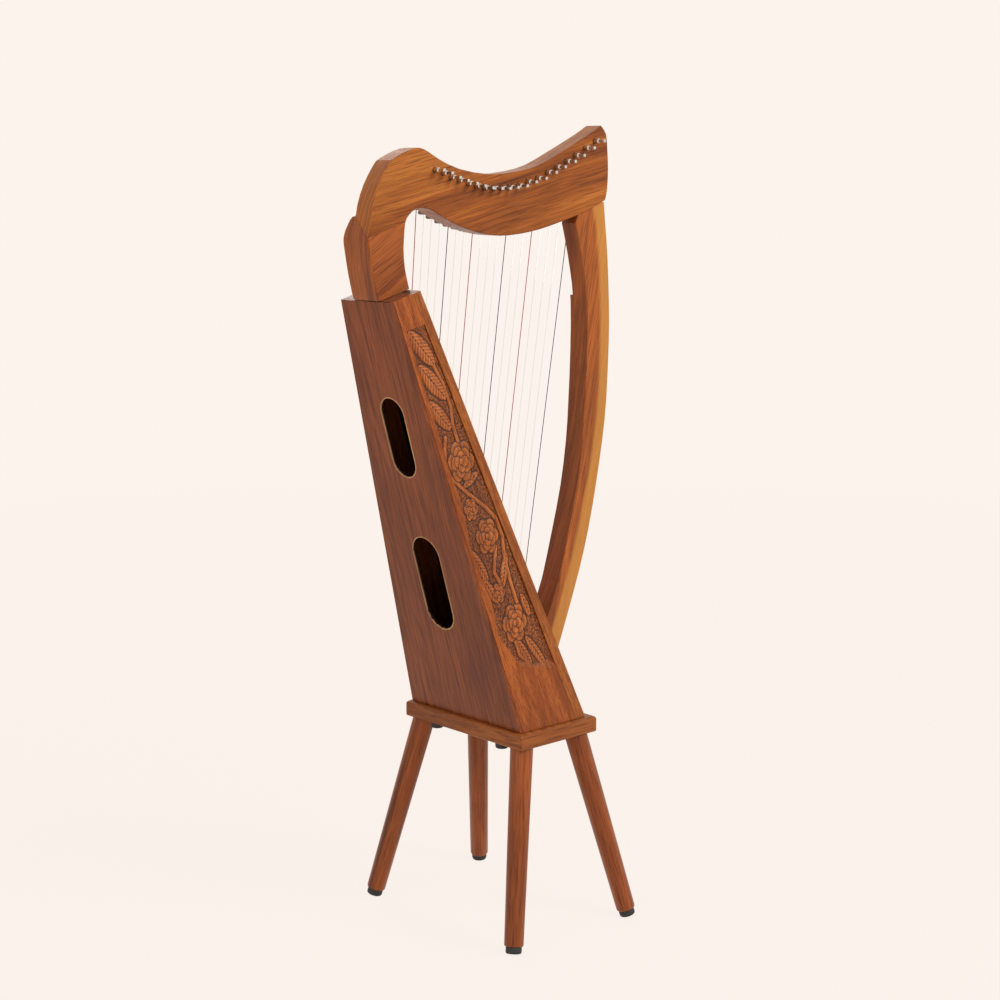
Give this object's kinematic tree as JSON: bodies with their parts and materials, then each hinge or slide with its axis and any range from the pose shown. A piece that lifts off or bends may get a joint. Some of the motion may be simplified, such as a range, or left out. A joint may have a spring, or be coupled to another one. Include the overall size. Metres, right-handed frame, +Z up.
{
  "type": "small floor harp",
  "caption": "Small floor harp with a carved tapered soundbox, curved neck and bowed pillar, on a base plate with four splayed legs",
  "frame": {"origin": "on the floor, below the middle of the object's box", "axes": "+X from the soundbox to the pillar, +Y to the player's left (string side), +Z up"},
  "size_m": [0.3922, 0.2974, 0.9779],
  "materials": {
    "rosewood": "reddish brown wood with dark grain, gloss lacquer",
    "dark_rosewood": "dark reddish brown wood, satin lacquer",
    "black_rubber": "matt black rubber",
    "nickel": "nickel plated steel",
    "clear_nylon": "clear nylon",
    "red_nylon": "red nylon",
    "black_nylon": "black nylon"
  },
  "bodies": {
    "frame": {"neck": "rosewood", "shoulder_post": "rosewood", "pillar": "rosewood", "back_panel": "rosewood", "side_panel_right": "rosewood", "side_panel_left": "rosewood", "soundboard": "rosewood", "base_plate": "rosewood", "string_rib": "dark_rosewood", "top_block": "dark_rosewood", "leg_back_right": "dark_rosewood", "leg_back_left": "dark_rosewood", "leg_front_right": "dark_rosewood", "leg_front_left": "dark_rosewood", "leg_tip_back_right": "black_rubber", "leg_tip_back_left": "black_rubber", "leg_tip_front_right": "black_rubber", "leg_tip_front_left": "black_rubber", "bumper_back_right": "black_rubber", "bumper_back_left": "black_rubber", "bumper_front_right": "black_rubber", "bumper_front_left": "black_rubber", "string_01": "red_nylon", "string_02": "clear_nylon", "string_03": "clear_nylon", "string_04": "clear_nylon", "string_05": "black_nylon", "string_06": "clear_nylon", "string_07": "clear_nylon", "string_08": "red_nylon", "string_09": "clear_nylon", "string_10": "clear_nylon", "string_11": "clear_nylon", "string_12": "black_nylon", "string_13": "clear_nylon", "string_14": "clear_nylon", "string_15": "red_nylon", "string_16": "clear_nylon", "string_17": "clear_nylon", "string_18": "clear_nylon", "string_19": "black_nylon"},
    "pin_01": {"tuning_pin_01": "nickel"},
    "pin_02": {"tuning_pin_02": "nickel"},
    "pin_03": {"tuning_pin_03": "nickel"},
    "pin_04": {"tuning_pin_04": "nickel"},
    "pin_05": {"tuning_pin_05": "nickel"},
    "pin_06": {"tuning_pin_06": "nickel"},
    "pin_07": {"tuning_pin_07": "nickel"},
    "pin_08": {"tuning_pin_08": "nickel"},
    "pin_09": {"tuning_pin_09": "nickel"},
    "pin_10": {"tuning_pin_10": "nickel"},
    "pin_11": {"tuning_pin_11": "nickel"},
    "pin_12": {"tuning_pin_12": "nickel"},
    "pin_13": {"tuning_pin_13": "nickel"},
    "pin_14": {"tuning_pin_14": "nickel"},
    "pin_15": {"tuning_pin_15": "nickel"},
    "pin_16": {"tuning_pin_16": "nickel"},
    "pin_17": {"tuning_pin_17": "nickel"},
    "pin_18": {"tuning_pin_18": "nickel"},
    "pin_19": {"tuning_pin_19": "nickel"}
  },
  "joints": [
    {"name": "tune_01", "type": "hinge", "parent": "frame", "child": "pin_01", "pos_m": [-0.0966, 0, 0.9237], "axis": [0, 1, 0], "continuous": true},
    {"name": "tune_02", "type": "hinge", "parent": "frame", "child": "pin_02", "pos_m": [-0.0844, 0, 0.9204], "axis": [0, 1, 0], "continuous": true},
    {"name": "tune_03", "type": "hinge", "parent": "frame", "child": "pin_03", "pos_m": [-0.0722, 0, 0.9153], "axis": [0, 1, 0], "continuous": true},
    {"name": "tune_04", "type": "hinge", "parent": "frame", "child": "pin_04", "pos_m": [-0.0599, 0, 0.9118], "axis": [0, 1, 0], "continuous": true},
    {"name": "tune_05", "type": "hinge", "parent": "frame", "child": "pin_05", "pos_m": [-0.046, 0, 0.9084], "axis": [0, 1, 0], "continuous": true},
    {"name": "tune_06", "type": "hinge", "parent": "frame", "child": "pin_06", "pos_m": [-0.0334, 0, 0.9054], "axis": [0, 1, 0], "continuous": true},
    {"name": "tune_07", "type": "hinge", "parent": "frame", "child": "pin_07", "pos_m": [-0.0208, 0, 0.9031], "axis": [0, 1, 0], "continuous": true},
    {"name": "tune_08", "type": "hinge", "parent": "frame", "child": "pin_08", "pos_m": [-0.0065, 0, 0.9024], "axis": [0, 1, 0], "continuous": true},
    {"name": "tune_09", "type": "hinge", "parent": "frame", "child": "pin_09", "pos_m": [0.0063, 0, 0.9023], "axis": [0, 1, 0], "continuous": true},
    {"name": "tune_10", "type": "hinge", "parent": "frame", "child": "pin_10", "pos_m": [0.0192, 0, 0.9034], "axis": [0, 1, 0], "continuous": true},
    {"name": "tune_11", "type": "hinge", "parent": "frame", "child": "pin_11", "pos_m": [0.0339, 0, 0.9051], "axis": [0, 1, 0], "continuous": true},
    {"name": "tune_12", "type": "hinge", "parent": "frame", "child": "pin_12", "pos_m": [0.0486, 0, 0.9097], "axis": [0, 1, 0], "continuous": true},
    {"name": "tune_13", "type": "hinge", "parent": "frame", "child": "pin_13", "pos_m": [0.0652, 0, 0.9138], "axis": [0, 1, 0], "continuous": true},
    {"name": "tune_14", "type": "hinge", "parent": "frame", "child": "pin_14", "pos_m": [0.0818, 0, 0.9209], "axis": [0, 1, 0], "continuous": true},
    {"name": "tune_15", "type": "hinge", "parent": "frame", "child": "pin_15", "pos_m": [0.0969, 0, 0.9274], "axis": [0, 1, 0], "continuous": true},
    {"name": "tune_16", "type": "hinge", "parent": "frame", "child": "pin_16", "pos_m": [0.1139, 0, 0.934], "axis": [0, 1, 0], "continuous": true},
    {"name": "tune_17", "type": "hinge", "parent": "frame", "child": "pin_17", "pos_m": [0.1292, 0, 0.9413], "axis": [0, 1, 0], "continuous": true},
    {"name": "tune_18", "type": "hinge", "parent": "frame", "child": "pin_18", "pos_m": [0.1464, 0, 0.9504], "axis": [0, 1, 0], "continuous": true},
    {"name": "tune_19", "type": "hinge", "parent": "frame", "child": "pin_19", "pos_m": [0.1638, 0, 0.959], "axis": [0, 1, 0], "continuous": true}
  ]
}
